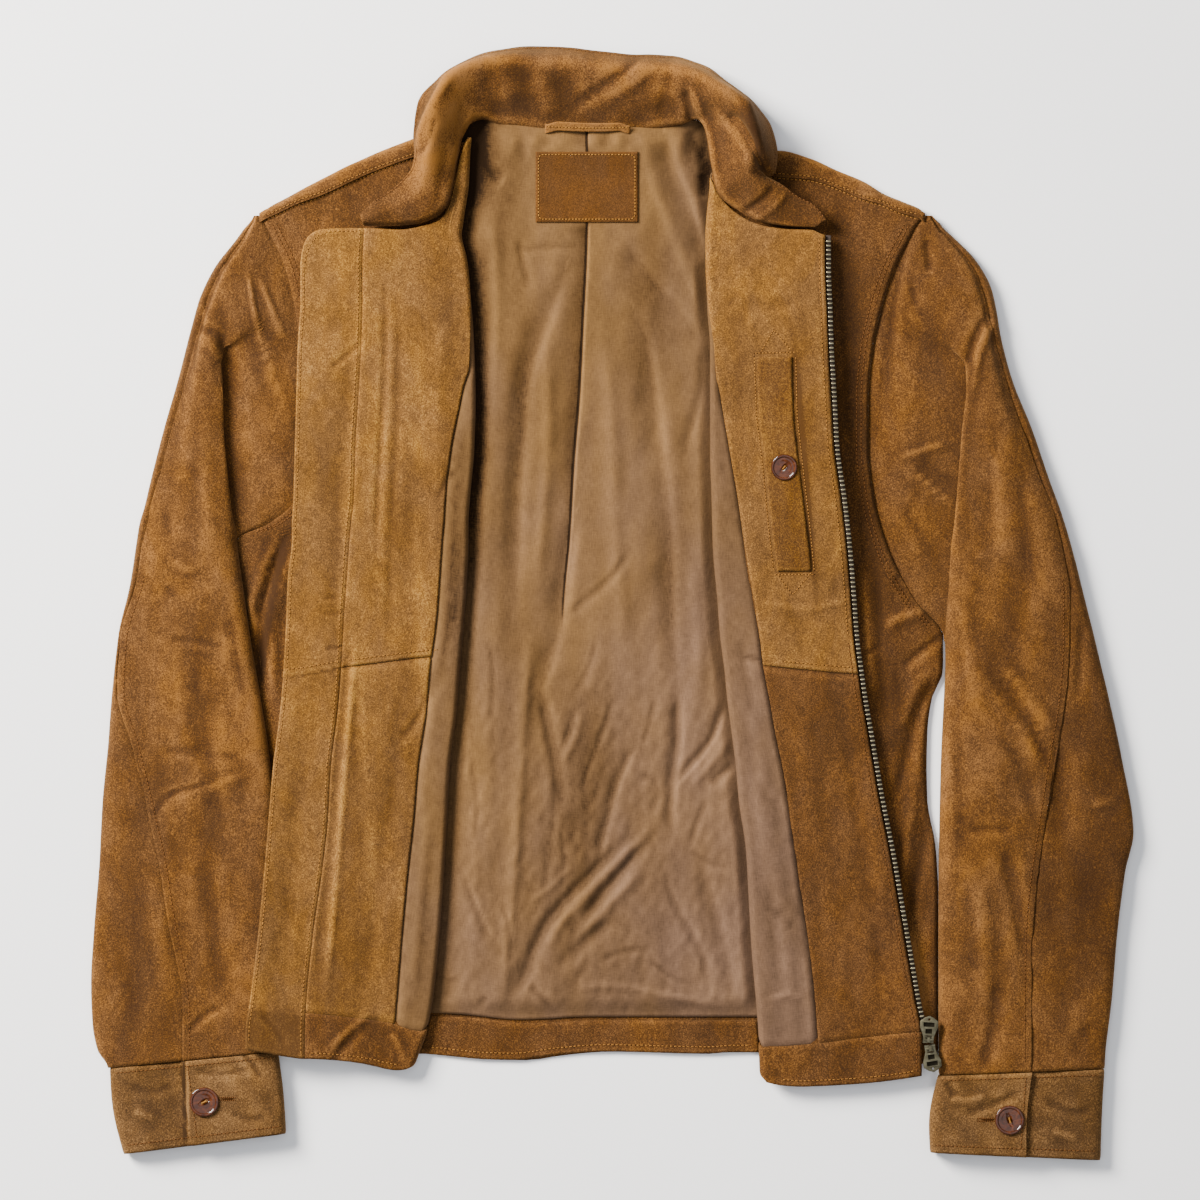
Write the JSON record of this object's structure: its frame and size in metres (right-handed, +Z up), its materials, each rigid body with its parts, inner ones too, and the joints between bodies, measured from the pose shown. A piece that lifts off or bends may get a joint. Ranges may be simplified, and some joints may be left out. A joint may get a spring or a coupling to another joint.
{
  "type": "suede jacket, laid open on its back",
  "caption": "Suede jacket lying flat on its back, zipped front turned open on both sides, lining and inner facings showing, sleeves at its sides.",
  "frame": {"origin": "on the surface the jacket lies on, near the middle of the back panel's underside", "axes": "+Z up from the surface, +Y from hem to collar, +X to the jacket's side with the zip teeth, which is the picture's right"},
  "size_m": [0.7283, 0.7785, 0.0381],
  "materials": {
    "suede": "napped suede, matte",
    "facing_suede": "napped suede, matte, a shade lighter",
    "lining": "fine twill, soft sheen",
    "tape": "woven tape, matte",
    "button": "polished horn-coloured resin",
    "metal": "aged, softly polished"
  },
  "bodies": {
    "jacket": {"back_hem": "suede", "back_lining": "lining", "back_panel": "suede", "collar_under": "suede", "collar_upper": "suede", "cuff_button_left": "button", "cuff_button_right": "button", "cuff_left": "facing_suede", "cuff_right": "facing_suede", "facing_lower_left": "facing_suede", "facing_lower_right": "facing_suede", "facing_upper_left": "facing_suede", "facing_upper_right": "facing_suede", "front_hem_left": "suede", "front_hem_right": "suede", "front_left": "suede", "front_lining_left": "lining", "front_lining_right": "lining", "front_right": "suede", "hanger_loop": "suede", "label_patch": "suede", "pocket_button": "button", "pocket_welt": "facing_suede", "sleeve_under_left": "suede", "sleeve_under_right": "suede", "sleeve_upper_left": "suede", "sleeve_upper_right": "suede", "slider_lower": "metal", "slider_upper": "metal", "storm_flap": "facing_suede", "yoke_left": "suede", "yoke_right": "suede", "zip_chain_left": "metal", "zip_chain_right": "metal", "zip_tape_left": "tape", "zip_tape_right": "tape"},
    "pull_upper": {"zip_pull_upper": "metal"},
    "pull_lower": {"zip_pull_lower": "metal"}
  },
  "joints": [
    {"name": "pull_upper_swing", "type": "hinge", "parent": "jacket", "child": "pull_upper", "pos_m": [0.221, -0.3022, 0.0143], "axis": [0.999, -0.0454, 0], "range_deg": [0, 85]},
    {"name": "pull_lower_swing", "type": "hinge", "parent": "jacket", "child": "pull_lower", "pos_m": [0.2222, -0.3082, 0.0143], "axis": [-0.9893, -0.1461, 0], "range_deg": [0, 85]}
  ]
}
